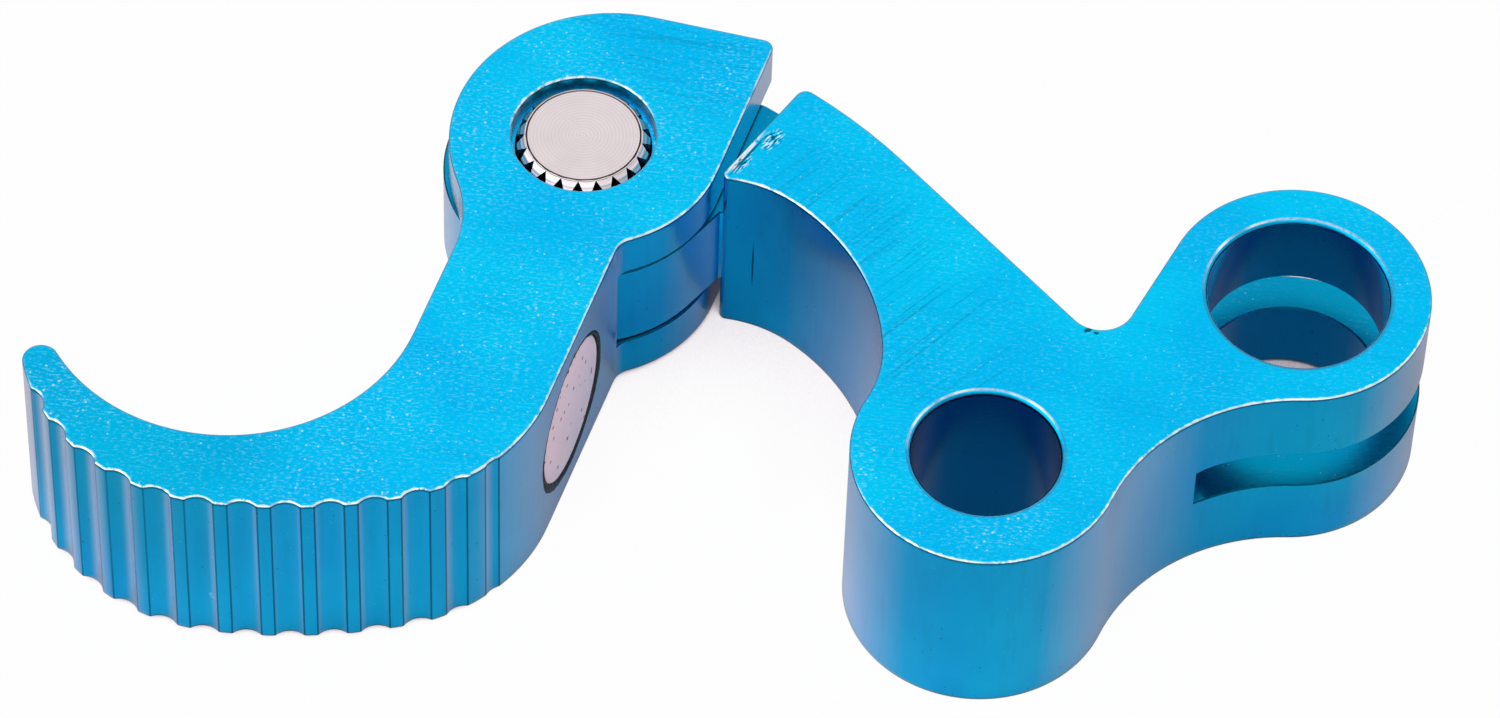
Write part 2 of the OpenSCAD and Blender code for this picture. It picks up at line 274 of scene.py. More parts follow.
def break_edges(shape, low, high, sizes):
    """Breaks the edges of a plate and marks them.

    edge fades in from the rims, rubbed is on the breaks for their wear, painted highlight and painted shade, mouth
    is on those of the bores, and seam is on the corners of the scallops and the breaks of the slots for a painted
    dark line.
    """
    band = sizes.wear_band
    seam_shade_layer = shape.faces.layers.float.new("seam")
    ends = {v for e in corner_edges(shape, high - low) for v in e.verts}
    short = [
        e for e in shape.edges
        if e.calc_length() < 1.25 * sizes.corner_break and not ends.isdisjoint(e.verts)]
    bmesh.ops.collapse(shape, edges=short)
    for face in bevelled(shape, corner_edges(shape, high - low), sizes.corner_break, 1, slide=False):
        face[seam_shade_layer] = 0.75
    for height in (low, high):
        rim_faces = [
            f for f in shape.faces
            if abs(f.normal.z) > LEVEL and abs(f.calc_center_median().z - height) < NEAR]
        ring = bmesh.ops.inset_region(
            shape, faces=rim_faces, thickness=band, use_even_offset=True, use_boundary=True)["faces"]
        bmesh.ops.collapse(shape, edges=crossed_edges(ring, set(rim_faces)))
    for height in (low + band, high - band):
        bmesh.ops.bisect_plane(
            shape, geom=shape.verts[:] + shape.edges[:] + shape.faces[:],
            plane_co=(0, 0, height), plane_no=(0, 0, 1))
    shape.normal_update()
    edge_layer = shape.verts.layers.float.new("edge")
    rubbed_lit_shaded_layer = shape.faces.layers.float.new("rubbed")
    mouth_layer = shape.faces.layers.float.new("mouth")
    outer, inner, mouths = [], [], []
    for e in shape.edges:
        if not e.is_manifold or not e.is_convex or e.calc_face_angle(0) < math.radians(40):
            continue
        flat = [f for f in e.link_faces if abs(f.normal.z) > LEVEL]
        if len(flat) != 1:
            continue
        height = (e.verts[0].co.z + e.verts[1].co.z) / 2
        on_rim = min(abs(height - low), abs(height - high)) < NEAR
        if on_rim and all(bore_gap(v.co) < NEAR for v in e.verts):
            mouths.append(e)
        else:
            (outer if on_rim else inner).append(e)
    for face in bevelled(shape, outer, sizes.edge_break, 3):
        face[rubbed_lit_shaded_layer] = 1.0
        for vert in face.verts:
            vert[edge_layer] = 1.0
    for face in bevelled(shape, mouths, sizes.mouth_break, 4):
        face[rubbed_lit_shaded_layer] = 1.0
        face[mouth_layer] = 1.0
    inner = [e for e in inner if e.is_valid]
    for face in bevelled(shape, inner, sizes.inner_break, 1):
        face.normal_update()
        at_hinge = (face.calc_center_median() - HINGE).xy.length < HINGE_REACH
        if at_hinge and face.normal.z <= 0:
            face[rubbed_lit_shaded_layer] = 0.6
        else:
            face[seam_shade_layer] = 1.0


def plate(name, node, body, low, high, material):
    """A machined plate from its CAD node, with broken edges marked for wear, painted highlight and painted shade.
    """
    shape = merged_copy(node)
    break_edges(shape, low, high, bpy.context.scene.lever_sizes)
    mesh = to_mesh(shape, name, math.radians(35))
    piece = new_piece(name, mesh, [material])
    settle(piece, body, node)


# Small tools for materials

def times(tree, first, second):
    """The product of two values, each a socket or a number."""
    node = add(tree, "ShaderNodeMath", operation="MULTIPLY")
    for key, value in enumerate((first, second)):
        if isinstance(value, float):
            node.inputs[key].default_value = value
        else:
            tree.links.new(value, node.inputs[key])
    return node.outputs[0]


def weighed(tree, value, weight, start):
    """A value times a weight, added to a start."""
    return add(tree, "ShaderNodeMath", {1: weight}, {0: value, 2: start}, operation="MULTIPLY_ADD").outputs[0]


def span(tree, value, low, high, start, end):
    """Maps a value from low..high to start..end and clamps it."""
    return add(tree, "ShaderNodeMapRange", {1: low, 2: high, 3: start, 4: end}, {0: value}).outputs[0]


def greater(tree, first, second):
    """The greater of two values."""
    return add(tree, "ShaderNodeMath", {}, {0: first, 1: second}, operation="MAXIMUM").outputs[0]


def is_over(tree, value, limit):
    """1 where a value is over a limit, else 0."""
    return add(tree, "ShaderNodeMath", {1: limit}, {0: value}, operation="GREATER_THAN").outputs[0]


def is_under(tree, value, limit):
    """1 where a value is under a limit, else 0."""
    return add(tree, "ShaderNodeMath", {1: limit}, {0: value}, operation="LESS_THAN").outputs[0]


def shade(tint, share):
    """A plain colour made darker."""
    return [c * share for c in tint]


def blend(tree, share, under, over):
    """Lays a plain colour over a colour by a share."""
    return add(tree, "ShaderNodeMix", {7: (*over, 1)}, {0: share, 6: under}, data_type="RGBA").outputs[2]


def between(tree, share, first, second):
    """A colour between two plain colours."""
    return add(
        tree, "ShaderNodeMix", {6: (*first, 1), 7: (*second, 1)}, {0: share}, data_type="RGBA").outputs[2]


def in_mm(tree, given):
    """Object coordinates in millimetres."""
    return add(
        tree, "ShaderNodeVectorMath", {"Scale": 1 / MM}, {0: given.outputs["Object"]},
        operation="SCALE").outputs[0]


def upward_share(tree, given):
    """How far a face looks up or down: 1 on level faces, 0 on walls."""
    facing = add(tree, "ShaderNodeSeparateXYZ", {}, {0: given.outputs["Normal"]}).outputs["Z"]
    return add(tree, "ShaderNodeMath", {}, {0: facing}, operation="ABSOLUTE").outputs[0]


def away_from(tree, place, middle):
    """The distance of a place from a middle."""
    return add(tree, "ShaderNodeVectorMath", {1: middle}, {0: place}, operation="DISTANCE").outputs["Value"]


def grains(tree, mm, turn, size, middle=(0, 0, 0)):
    """Coordinates about a middle, turned by degrees and counted in grains of a size in millimetres."""
    return add(
        tree, "ShaderNodeMapping",
        {"Location": middle, "Rotation": (0, 0, math.radians(turn)), "Scale": size},
        {"Vector": mm}, vector_type="TEXTURE").outputs[0]


def mottle(tree, place, size, detail, roughness=0.5):
    """Noise with lumps of a size."""
    return add(
        tree, "ShaderNodeTexNoise", {"Scale": 1 / size, "Detail": detail, "Roughness": roughness},
        {"Vector": place}).outputs["Fac"]


def spot(tree, mm, middle, turn, half):
    """A mask that is 1 in an ellipsoid given in millimetres and fades to 0 at its rim; turn is in degrees."""
    away = add(
        tree, "ShaderNodeVectorMath", {}, {0: grains(tree, mm, turn, half, middle)},
        operation="LENGTH").outputs["Value"]
    return span(tree, away, 1.0, 0.6, 0.0, 1.0)


def worn_at(tree, mm, *places):
    """A mask of the named worn places."""
    mask = spot(tree, mm, *WORN[places[0]])
    for place in places[1:]:
        mask = greater(tree, mask, spot(tree, mm, *WORN[place]))
    return mask


def bumped(tree, height, strength, depth):
    """A normal roughened by a height."""
    return add(
        tree, "ShaderNodeBump", {"Strength": strength, "Distance": depth}, {"Height": height}).outputs[0]


def end_metal(tree, base, rough, normal):
    """Ends the tree of a metal."""
    shader = add(
        tree, "ShaderNodeBsdfPrincipled", {"Metallic": 1.0},
        {"Base Color": base, "Roughness": rough, "Normal": normal})
    add(tree, "ShaderNodeOutputMaterial", {}, {"Surface": shader.outputs[0]})


# Anodised aluminium

# Worn places: middle in millimetres, turn in degrees, half sizes in millimetres
WORN = {
    "knuckle marks": ((-14.0, 22.0, 10.0), -12, (6.5, 3.0, 1.0)),
    "tip marks": ((-40.2, 3.7, 10.0), -20, (2.4, 1.4, 1.0)),
    "arm scratches": ((-5.0, 9.5, 10.2), 125, (10, 4.5, 1)),
    "hook end": ((-37.5, 1.0, 10.0), 0, (9, 7, 12)),
    "pivot scuff": ((0.7, -3.9, 10.2), 18, (3.2, 1.5, 1.0)),
    "boss scuff": ((-5.3, -0.6, 10.2), 0, (0.8, 2.2, 1.0)),
    "arm burr": ((-10.55, 16.3, 10.2), 54.5, (1.75, 0.2, 0.5)),
    "rim chips": ((-9.28, 17.1, 10.2), 54.5, (0.75, 0.45, 0.5)),
    "corner chips": ((-10.6, 15.75, 10.2), 54.5, (0.8, 0.3, 0.5)),
    "burr groove": ((-10.38, 16.15, 10.2), 54.5, (1.6, 0.07, 0.3)),
    "hollow scratch": ((-10.0, 14.6, 4.4), 0, (0.05, 0.5, 1.8)),
    "notch dent": ((4.54, 6.75, 10.2), 20, (0.24, 0.14, 0.6)),
    "notch nick": ((4.9, 6.6, 10.2), -10, (0.14, 0.1, 0.6)),
}
# Rims that look this way get the most wear and the painted highlight
WORN_AND_HIGHLIT_SIDE = (0.15, -0.99, 0)
# Level faces between these heights in millimetres are floors of slots
SLOT_FROM, SLOT_TO = 1.5, 8.5
# How far past a bore's radius its wall is still coloured as bore, in millimetres
BORE_SLACK = 0.03
# Radius in millimetres within which the walls about the hinge belong to the pin's hole
PIN_HOLE_REACH = 3.4


def skin_guides(tree):
    """What the anodised skin goes by: place, facing, and the marks that break_edges left."""
    given = add(tree, "ShaderNodeTexCoord")
    on = SimpleNamespace(normal=given.outputs["Normal"], mm=in_mm(tree, given))
    on.flat = add(
        tree, "ShaderNodeVectorMath", {1: (1, 1, 0)}, {0: on.mm}, operation="MULTIPLY").outputs[0]
    on.upward = upward_share(tree, given)
    on.level = span(tree, on.upward, 0.7, 0.95, 0.0, 1.0)
    on.upright = span(tree, on.level, 0.0, 1.0, 1.0, 0.0)
    height = add(tree, "ShaderNodeSeparateXYZ", {}, {0: on.mm}).outputs["Z"]
    below = span(tree, height, SLOT_TO, SLOT_TO - 0.1, 0.0, 1.0)
    on.sunk = times(tree, below, span(tree, height, SLOT_FROM, SLOT_FROM + 0.1, 0.0, 1.0))
    for name in ("edge", "rubbed", "mouth", "seam"):
        setattr(on, name, add(tree, "ShaderNodeAttribute", attribute_name=name).outputs["Fac"])
    return on


def dyed_and_shaded_skin(tree, on, finish):
    """Dye that took unevenly over patches of about 7 mm, with painted shade in the bores, on the floors of the
    slots and in the seams.
    """
    patch = mottle(tree, on.mm, 7, 3.0)
    skin = between(tree, span(tree, patch, 0.35, 0.65, 0.0, 1.0), finish.dye_deep, finish.dye)
    # Painted shade on the walls and mouths of the bores
    for bore in BORES:
        away = away_from(tree, on.flat, (bore["pos_m"][0] / MM, bore["pos_m"][1] / MM, 0))
        within = greater(tree, is_under(tree, away, bore["dims"]["r_mm"] + BORE_SLACK), on.mouth)
        skin = blend(tree, within, skin, shade(finish.dye_deep, 0.9))
    # Painted shade on the floors of the slots
    slot_floor_shade = times(tree, times(tree, on.sunk, on.level), 0.6)
    skin = blend(tree, slot_floor_shade, skin, shade(finish.dye_deep, 0.3))
    # Painted shade: a dark line on the corners of the scallops and on the breaks of the slots and the fork
    return blend(tree, on.seam, skin, shade(finish.dye_deep, 0.12))


def tool_marks(tree, on):
    """Straight marks, about 0.17 mm apart and 5 mm long, plain on the knuckle and the hook's tip."""
    marks = mottle(tree, grains(tree, on.mm, -11.4, (5, 0.17, 3)), 1.0, 2.0)
    plain = worn_at(tree, on.mm, "knuckle marks", "tip marks")
    return times(tree, span(tree, marks, 0.52, 0.7, 0.0, 0.45), span(tree, plain, 0.0, 1.0, 0.3, 1.0))


def arm_scratches(tree, on):
    """Slanting scratches that handling left on the arm, about 0.12 mm wide."""
    scratches = mottle(tree, grains(tree, on.mm, 43, (6, 0.12, 3)), 1.0, 2.0)
    return times(tree, span(tree, scratches, 0.56, 0.68, 0.0, 0.5), worn_at(tree, on.mm, "arm scratches"))


def grain_crowding(tree, on, scuffed):
    """How thick the grain and specks lie: in clouds of about 5 mm, most in the scuffs, little on walls."""
    clouds = mottle(tree, on.mm, 5, 2.0)
    crowding = span(tree, clouds, 0.35, 0.65, 0.25 * scuffed, scuffed)
    crowding = greater(tree, crowding, worn_at(tree, on.mm, "pivot scuff", "boss scuff"))
    crowding = times(tree, crowding, span(tree, on.level, 0.0, 1.0, 0.12, 1.0))
    return times(tree, crowding, span(tree, on.sunk, 0.0, 1.0, 1.0, 0.3))


def speckled(tree, on, skin, crowding, line_blue):
    """Pale specks, up to 0.15 mm across, and dark pits of about 0.1 mm in the walls."""
    cells = add(tree, "ShaderNodeTexVoronoi", {"Scale": 1 / 0.36, "Randomness": 1.0}, {"Vector": on.mm})
    away = cells.outputs["Distance"]
    pick = add(tree, "ShaderNodeSeparateColor", {}, {0: cells.outputs["Color"]}).outputs[0]
    size = span(tree, crowding, 0.0, 1.0, 0.06, 0.21)
    dot = add(tree, "ShaderNodeMapRange", {2: 0.0, 3: 0.0, 4: 1.0}, {0: away, 1: size}).outputs[0]
    skin = blend(tree, times(tree, dot, is_over(tree, pick, 0.45)), skin, colour("#D2F0FA"))
    pit = times(tree, span(tree, away, 0.16, 0.08, 0.0, 0.6), is_under(tree, pick, 0.14))
    return blend(tree, times(tree, pit, on.upright), skin, line_blue)


def wall_chips(tree, on, grain, scuffed):
    """Chips of about 0.3 mm in the walls, up to 3 mm apart."""
    cells = add(tree, "ShaderNodeTexVoronoi", {"Scale": 1 / 2.6, "Randomness": 1.0}, {"Vector": on.mm})
    pick = add(tree, "ShaderNodeSeparateColor", {}, {0: cells.outputs["Color"]}).outputs[1]
    chip = times(tree, is_over(tree, pick, 1 - 0.35 * scuffed), on.upright)
    chip = times(tree, chip, span(tree, grain, 0.46, 0.5, 0.0, 1.0))
    return times(tree, chip, span(tree, cells.outputs["Distance"], 0.07, 0.055, 0.0, 0.8))


def rim_shadow(tree, on):
    """A dark line on the breaks and on the walls just under them."""
    on_break = times(tree, on.rubbed, span(tree, on.upward, 0.75, 0.45, 0.3, 0.75))
    return greater(tree, on_break, times(tree, on.upright, span(tree, on.edge, 0.62, 0.75, 0.0, 0.6)))


def rim_wear_and_highlight(tree, on, nicks):
    """Bare stretches and a painted highlight on the upper part of the breaks that face the front, and nicks in the
    band beside them.
    """
    around = add(
        tree, "ShaderNodeVectorMath", {1: (1, 1, 0)}, {0: on.normal}, operation="MULTIPLY").outputs[0]
    around = add(tree, "ShaderNodeVectorMath", {}, {0: around}, operation="NORMALIZE").outputs[0]
    front = add(tree, "ShaderNodeVectorMath", {1: WORN_AND_HIGHLIT_SIDE}, {0: around}, operation="DOT_PRODUCT")
    front = span(tree, front.outputs["Value"], 0.15, 0.6, 0.05, 1.0)
    nick = span(tree, weighed(tree, on.edge, 0.75, nicks), 1.2, 1.27, 0.0, 0.9)
    stretches = mottle(tree, on.mm, 1.6, 5.0, 0.7)
    rub_and_highlight = times(tree, on.rubbed, span(tree, stretches, 0.4, 0.62, 0.15, 0.95))
    # The mouths of the bores get the bare metal and the painted highlight at the top of their round alone
    mouth_top = times(tree, on.mouth, span(tree, on.upward, 0.86, 0.93, 0.0, 1.0))
    other = span(tree, on.mouth, 0.0, 1.0, 1.0, 0.0)
    rim_top = times(tree, other, span(tree, on.upward, 0.35, 0.55, 0.0, 1.0))
    return times(tree, times(tree, greater(tree, rub_and_highlight, nick), front), greater(tree, mouth_top, rim_top))


def knocks(tree, on, nicks):
    """The knocked end of the arm and the dents of the notch: a mask of bare metal and a mask of dents, whose dark
    colour is painted shade.
    """
    chips = worn_at(tree, on.mm, "rim chips", "corner chips")
    torn = mottle(tree, grains(tree, on.mm, 48, (0.4, 0.1, 0.1)), 1.0, 2.0)
    burr = times(tree, worn_at(tree, on.mm, "arm burr"), span(tree, nicks, 0.38, 0.46, 0.0, 1.0))
    bare = greater(tree, burr, times(tree, chips, span(tree, torn, 0.53, 0.58, 0.0, 1.0)))
    cuts = worn_at(tree, on.mm, "burr groove", "hollow scratch", "notch dent", "notch nick")
    return bare, greater(tree, times(tree, chips, span(tree, torn, 0.48, 0.43, 0.0, 1.0)), cuts)


def anodised_aluminium(name, scuffed):
    """Aluminium, milled, tumbled and anodised in a blue dye.

    To the eye: a satin metal that mirrors its surroundings in blue and goes pale at a glancing look, a painted
    sheen, with bare metal and a painted highlight on the rims that face the front, painted shade in the bores,
    slots, seams, dents and under the rims, a fine pale grain that runs one way, white specks, and straight tool
    marks. The scuffed kind has more of the grain and the marks.
    """
    finish = bpy.context.scene.lever_finish
    material, tree = new_material(name)
    on = skin_guides(tree)
    # line_blue is the dark of the pits and of the painted shade under the rims
    line_blue = shade(finish.dye_deep, 0.12)
    mark_blue = shade(finish.dye_deep, 0.55)
    mark = tool_marks(tree, on)
    skin = blend(tree, mark, dyed_and_shaded_skin(tree, on, finish), mark_blue)
    skin = blend(tree, arm_scratches(tree, on), skin, mark_blue)
    # The hook's end took more dye
    hook_end = times(tree, worn_at(tree, on.mm, "hook end"), 0.5)
    skin = blend(tree, hook_end, skin, shade(finish.dye_deep, 0.7))
    # Tumbling leaves a pale grain of about 0.1 by 0.25 mm
    grain = mottle(tree, grains(tree, on.mm, -4, (0.25, 0.1, 0.1)), 1.0, 3.0, 0.7)
    crowding = grain_crowding(tree, on, scuffed)
    pale = times(tree, span(tree, grain, 0.54, 0.66, 0.0, 0.75), crowding)
    skin = blend(tree, pale, skin, colour("#7CDCFA"))
    skin = speckled(tree, on, skin, crowding, line_blue)
    skin = blend(tree, wall_chips(tree, on, grain, scuffed), skin, colour("#C4DCEC"))
    # Painted shade and painted highlight on the rims, their wear, and knocks
    skin = blend(tree, rim_shadow(tree, on), skin, line_blue)
    nicks = mottle(tree, on.mm, 0.35, 3.0, 0.6)
    bare, dents_and_shade = knocks(tree, on, nicks)
    skin = blend(tree, greater(tree, rim_wear_and_highlight(tree, on, nicks), bare), skin, finish.bare)
    # The dents and cuts are painted dark: painted shade in them
    skin = blend(tree, times(tree, dents_and_shade, 0.85), skin, shade(finish.dye_deep, 0.1))
    # A painted sheen: the skin goes pale at a glancing look, less on the tops and not in the seams
    glance = add(tree, "ShaderNodeLayerWeight", {"Blend": 0.5}).outputs["Facing"]
    painted_sheen = times(tree, span(tree, glance, 0.5, 1.0, 0.0, 1.0), span(tree, on.level, 0.0, 1.0, 1.0, 0.5))
    painted_sheen = times(tree, painted_sheen, span(tree, on.seam, 0.0, 1.0, 1.0, 0.0))
    skin = blend(tree, painted_sheen, skin, colour("#F2EEFF"))
    # The walls are smoother than the tops, but the wall of the pin's hole is left rough
    rough = times(tree, span(tree, grain, 0.3, 0.7, 0.28, 0.4), span(tree, on.level, 0.0, 1.0, 0.5, 1.0))
    away = away_from(tree, on.flat, (HINGE.x / MM, HINGE.y / MM, 0))
    hole = span(tree, away, PIN_HOLE_REACH, PIN_HOLE_REACH - 0.1, 0.0, 1.0)
    hole = times(tree, hole, span(tree, on.level, 0.0, 1.0, 0.28, 0.0))
    rough = add(tree, "ShaderNodeMath", {}, {0: rough, 1: hole}, operation="ADD").outputs[0]
    height = weighed(tree, dents_and_shade, -2.0, weighed(tree, mark, -0.6, grain))
    end_metal(tree, skin, rough, bumped(tree, height, 0.25, 0.02 * MM))
    return material


# Other materials

def turned_steel():
    """Free-cutting steel, turned on a lathe: a pale satin grey with fine rings about its middle.

    Its sides are near black from old oil and from painted shade, so the grooves of the knurl are dark.
    """
    finish = bpy.context.scene.lever_finish
    material, tree = new_material("Turned steel")
    given = add(tree, "ShaderNodeTexCoord")
    mm = in_mm(tree, given)
    centred = add(tree, "ShaderNodeMapping", {"Location": (-HINGE.x / MM, -HINGE.y / MM, 0)}, {"Vector": mm})
    # Feed marks about 0.16 mm apart; the wave repeats every 2 pi over twenty times its scale
    rings = add(
        tree, "ShaderNodeTexWave",
        {"Scale": math.pi / 10 / 0.16, "Distortion": 0.6, "Detail": 2.0, "Detail Scale": 1.0},
        {"Vector": centred.outputs[0]}, wave_type="RINGS", rings_direction="Z").outputs["Fac"]
    base = between(tree, mottle(tree, mm, 1.2, 4.0), shade(finish.steel, 0.8), finish.steel)
    base = blend(tree, span(tree, rings, 0.0, 1.0, 0.4, 0.0), base, shade(finish.steel, 0.72))
    # Painted shade with the old oil: the sides are near black
    oil_and_shade = span(tree, upward_share(tree, given), 0.35, 0.5, 0.9, 0.0)
    base = blend(tree, oil_and_shade, base, colour("#101216"))
    end_metal(tree, base, span(tree, rings, 0.0, 1.0, 0.3, 0.4), bumped(tree, rings, 0.5, 0.01 * MM))
    return material


def nickel_plate():
    """Nickel plating over a sintered magnet: pale and satin, with fine pits."""
    finish = bpy.context.scene.lever_finish
    material, tree = new_material("Nickel plate, pitted")
    mm = in_mm(tree, add(tree, "ShaderNodeTexCoord"))
    # Pits about 0.15 mm across
    pits = add(tree, "ShaderNodeTexVoronoi", {"Scale": 1 / 0.6}, {"Vector": mm}).outputs["Distance"]
    sound = span(tree, pits, 0.08, 0.2, 0.0, 1.0)
    cloud = mottle(tree, mm, 0.5, 4.0)
    clouded = between(tree, cloud, shade(finish.nickel, 0.94), finish.nickel)
    base = add(
        tree, "ShaderNodeMix", {6: (*colour("#6E6468"), 1)}, {0: sound, 7: clouded},
        data_type="RGBA").outputs[2]
    end_metal(tree, base, span(tree, cloud, 0.3, 0.7, 0.85, 1.0), bumped(tree, sound, 0.4, 0.02 * MM))
    return material


def black_bond():
    """Filled epoxy: black, with a broken gloss."""
    finish = bpy.context.scene.lever_finish
    material, tree = new_material("Black epoxy bond")
    mm = in_mm(tree, add(tree, "ShaderNodeTexCoord"))
    # Lumps of filler about 0.1 mm across
    lumps = mottle(tree, mm, 0.1, 3.0)
    shader = add(
        tree, "ShaderNodeBsdfPrincipled", {"Base Color": (*finish.bond, 1), "IOR": 1.55},
        {"Roughness": span(tree, lumps, 0.3, 0.7, 0.35, 0.7), "Normal": bumped(tree, lumps, 0.5, 0.03 * MM)})
    add(tree, "ShaderNodeOutputMaterial", {}, {"Surface": shader.outputs[0]})
    return material


def studio_paper():
    """White paper: it reads as white to the camera and to the metal, and keeps a faint shadow."""
    material, tree = new_material("Studio paper")
    rays = add(tree, "ShaderNodeLightPath")
    # Painted shade: the paper's colour is dark in the bores and narrow gaps, and its glow is pinkish close to the
    # metal
    open_sky = add(tree, "ShaderNodeAmbientOcclusion", {"Distance": 15 * MM}, samples=8).outputs["AO"]
    seen = times(tree, rays.outputs["Is Camera Ray"], 0.98)
    seen = times(tree, seen, span(tree, open_sky, 0.06, 0.26, 0.0, 1.0))
    mirrored = greater(tree, rays.outputs["Is Glossy Ray"], rays.outputs["Is Transmission Ray"])
    share = greater(tree, seen, times(tree, mirrored, 0.05))
    shaded = between(tree, span(tree, open_sky, 0.15, 0.6, 0.0, 1.0), colour("#B4ACB2"), colour("#FBF5F8"))
    tint = between(tree, span(tree, open_sky, 0.12, 0.3, 0.0, 1.0), colour("#FBE9F4"), (1, 1, 1))
    paper = add(tree, "ShaderNodeBsdfDiffuse", {}, {"Color": shaded})
    glow = add(tree, "ShaderNodeEmission", {"Strength": 1.0}, {"Color": tint})
    mixed = add(
        tree, "ShaderNodeMixShader", {}, {0: share, 1: paper.outputs[0], 2: glow.outputs[0]})
    add(tree, "ShaderNodeOutputMaterial", {}, {"Surface": mixed.outputs[0]})
    return material


# Operators, one for each piece

class LEVER_OT_bracket(bpy.types.Operator):
    """Makes the bell crank bracket"""
    bl_idname = "lever.bracket"
    bl_label = "Bracket"

    def execute(self, context):
        material = anodised_aluminium("Anodised aluminium, blue dye", 0.45)
        plate("bracket_plate", "bracket", "bracket", BRACKET_LOW.z, BRACKET_HIGH.z, material)
        return {"FINISHED"}


class LEVER_OT_hook(bpy.types.Operator):
    """Makes the hook lever"""
    bl_idname = "lever.hook"
    bl_label = "Hook lever"

    def execute(self, context):
        material = anodised_aluminium("Anodised aluminium, blue dye, scuffed", 1.0)
        plate("hook_lever_plate", "hook_lever", "lever", LEVER_LOW.z, LEVER_HIGH.z, material)
        return {"FINISHED"}


# Lengths of the hinge pin
KNURL_LENGTH = 2.2 * MM
SHANK_STEP = 0.04 * MM
FOOT_CHAMFER = 0.45 * MM
FACE_GROOVE = 0.1 * MM


class LEVER_OT_pin(bpy.types.Operator):
    """Makes the hinge pin: a turned body and the teeth of its knurl"""
    bl_idname = "lever.pin"
    bl_label = "Hinge pin"

    def execute(self, context):
        sizes = context.scene.lever_sizes
        steel = turned_steel()
        crest = (PIN_HIGH.x - PIN_LOW.x) / 2
        root = crest - sizes.tooth_depth
        face = sizes.face_radius
        top = PIN_HIGH.z
        foot = PIN_LOW.z
        knurl_end = top - KNURL_LENGTH
        shank = crest - SHANK_STEP
        # From the centre drill's dimple over the face, its ring groove and the knurl's root to the foot
        profile = [
            (0.0, top - 0.01 * MM), (0.08 * MM, top - 0.02 * MM), (0.16 * MM, top), (face - 0.12 * MM, top),
            (face - 0.08 * MM, top - FACE_GROOVE), (face - 0.03 * MM, top - 0.01 * MM),
            (root, top - 0.02 * MM), (root, knurl_end), (shank, knurl_end),
            (shank, foot + FOOT_CHAMFER), (shank - FOOT_CHAMFER, foot), (0.0, foot)]
        shape = bmesh.new()
        chain = [shape.verts.new((r, 0, z)) for r, z in profile]
        links = [shape.edges.new(pair) for pair in zip(chain, chain[1:])]
        bmesh.ops.spin(
            shape, geom=chain + links, cent=(0, 0, 0), axis=(0, 0, 1), angle=math.tau, steps=96)
        bmesh.ops.remove_doubles(shape, verts=shape.verts[:], dist=WELD)
        bmesh.ops.recalc_face_normals(shape, faces=shape.faces[:])
        bmesh.ops.translate(shape, verts=shape.verts[:], vec=(HINGE.x, HINGE.y, 0))
        body = new_piece("hinge_pin_body", to_mesh(shape, "hinge_pin_body", math.radians(30)), [steel])
        settle(body, "lever", "hinge_pin")
        teeth = new_piece("hinge_pin_teeth", knurl_mesh(crest, top, top - knurl_end, steel), [])
        settle(teeth, "lever", "hinge_pin")
        return {"FINISHED"}


def knurl_tree():
    """Geometry Nodes: a ring of wedge-shaped teeth with sloped tops about the Z axis."""
    tree = bpy.data.node_groups.new("Knurl ring", "GeometryNodeTree")
    sockets = {
        "Teeth": "NodeSocketInt", "Crest radius": "NodeSocketFloat", "Tooth size": "NodeSocketVector",
        "Tip share": "NodeSocketFloat", "Slope": "NodeSocketFloat", "Place": "NodeSocketVector",
        "Material": "NodeSocketMaterial"}
    for name, kind in sockets.items():
        tree.interface.new_socket(name, in_out="INPUT", socket_type=kind)
    tree.interface.new_socket("Geometry", in_out="OUTPUT", socket_type="NodeSocketGeometry")
    given = add(tree, "NodeGroupInput").outputs
    # A block with its tip narrowed and the outer end of its top lowered
    block = add(tree, "GeometryNodeMeshCube", {}, {"Size": given["Tooth size"]}).outputs["Mesh"]
    point = add(tree, "GeometryNodeInputPosition").outputs[0]
    at = add(tree, "ShaderNodeSeparateXYZ", {}, {0: point}).outputs
    tip = is_over(tree, at["X"], 0.0)
    crown = is_over(tree, at["Z"], 0.0)
    narrow = add(tree, "ShaderNodeMapRange", {3: 1.0}, {0: tip, 4: given["Tip share"]}).outputs[0]
    drop = times(tree, times(tree, tip, crown), given["Slope"])
    lower = add(tree, "ShaderNodeMath", {}, {0: at["Z"], 1: drop}, operation="SUBTRACT").outputs[0]
    width = times(tree, at["Y"], narrow)
    moved = add(tree, "ShaderNodeCombineXYZ", {}, {"X": at["X"], "Y": width, "Z": lower}).outputs[0]
    tooth = add(tree, "GeometryNodeSetPosition", {}, {"Geometry": block, "Position": moved}).outputs[0]
    # The teeth stand round a ring through the middle of their depth
    depth = add(tree, "ShaderNodeSeparateXYZ", {}, {0: given["Tooth size"]}).outputs["X"]
    radius = weighed(tree, depth, -0.5, given["Crest radius"])
    ring = add(tree, "GeometryNodeMeshCircle", {}, {"Vertices": given["Teeth"], "Radius": radius}).outputs[0]
    outward = add(tree, "FunctionNodeAlignRotationToVector", {}, {"Vector": point}, axis="X").outputs[0]
    around = add(
        tree, "GeometryNodeInstanceOnPoints", {},
        {"Points": ring, "Instance": tooth, "Rotation": outward}).outputs[0]
    placed = add(
        tree, "GeometryNodeTransform", {}, {"Geometry": around, "Translation": given["Place"]}).outputs[0]
    real = add(tree, "GeometryNodeRealizeInstances", {}, {"Geometry": placed}).outputs[0]
    dressed = add(
        tree, "GeometryNodeSetMaterial", {}, {"Geometry": real, "Material": given["Material"]}).outputs[0]
    add(tree, "NodeGroupOutput", {}, {"Geometry": dressed})
    return tree


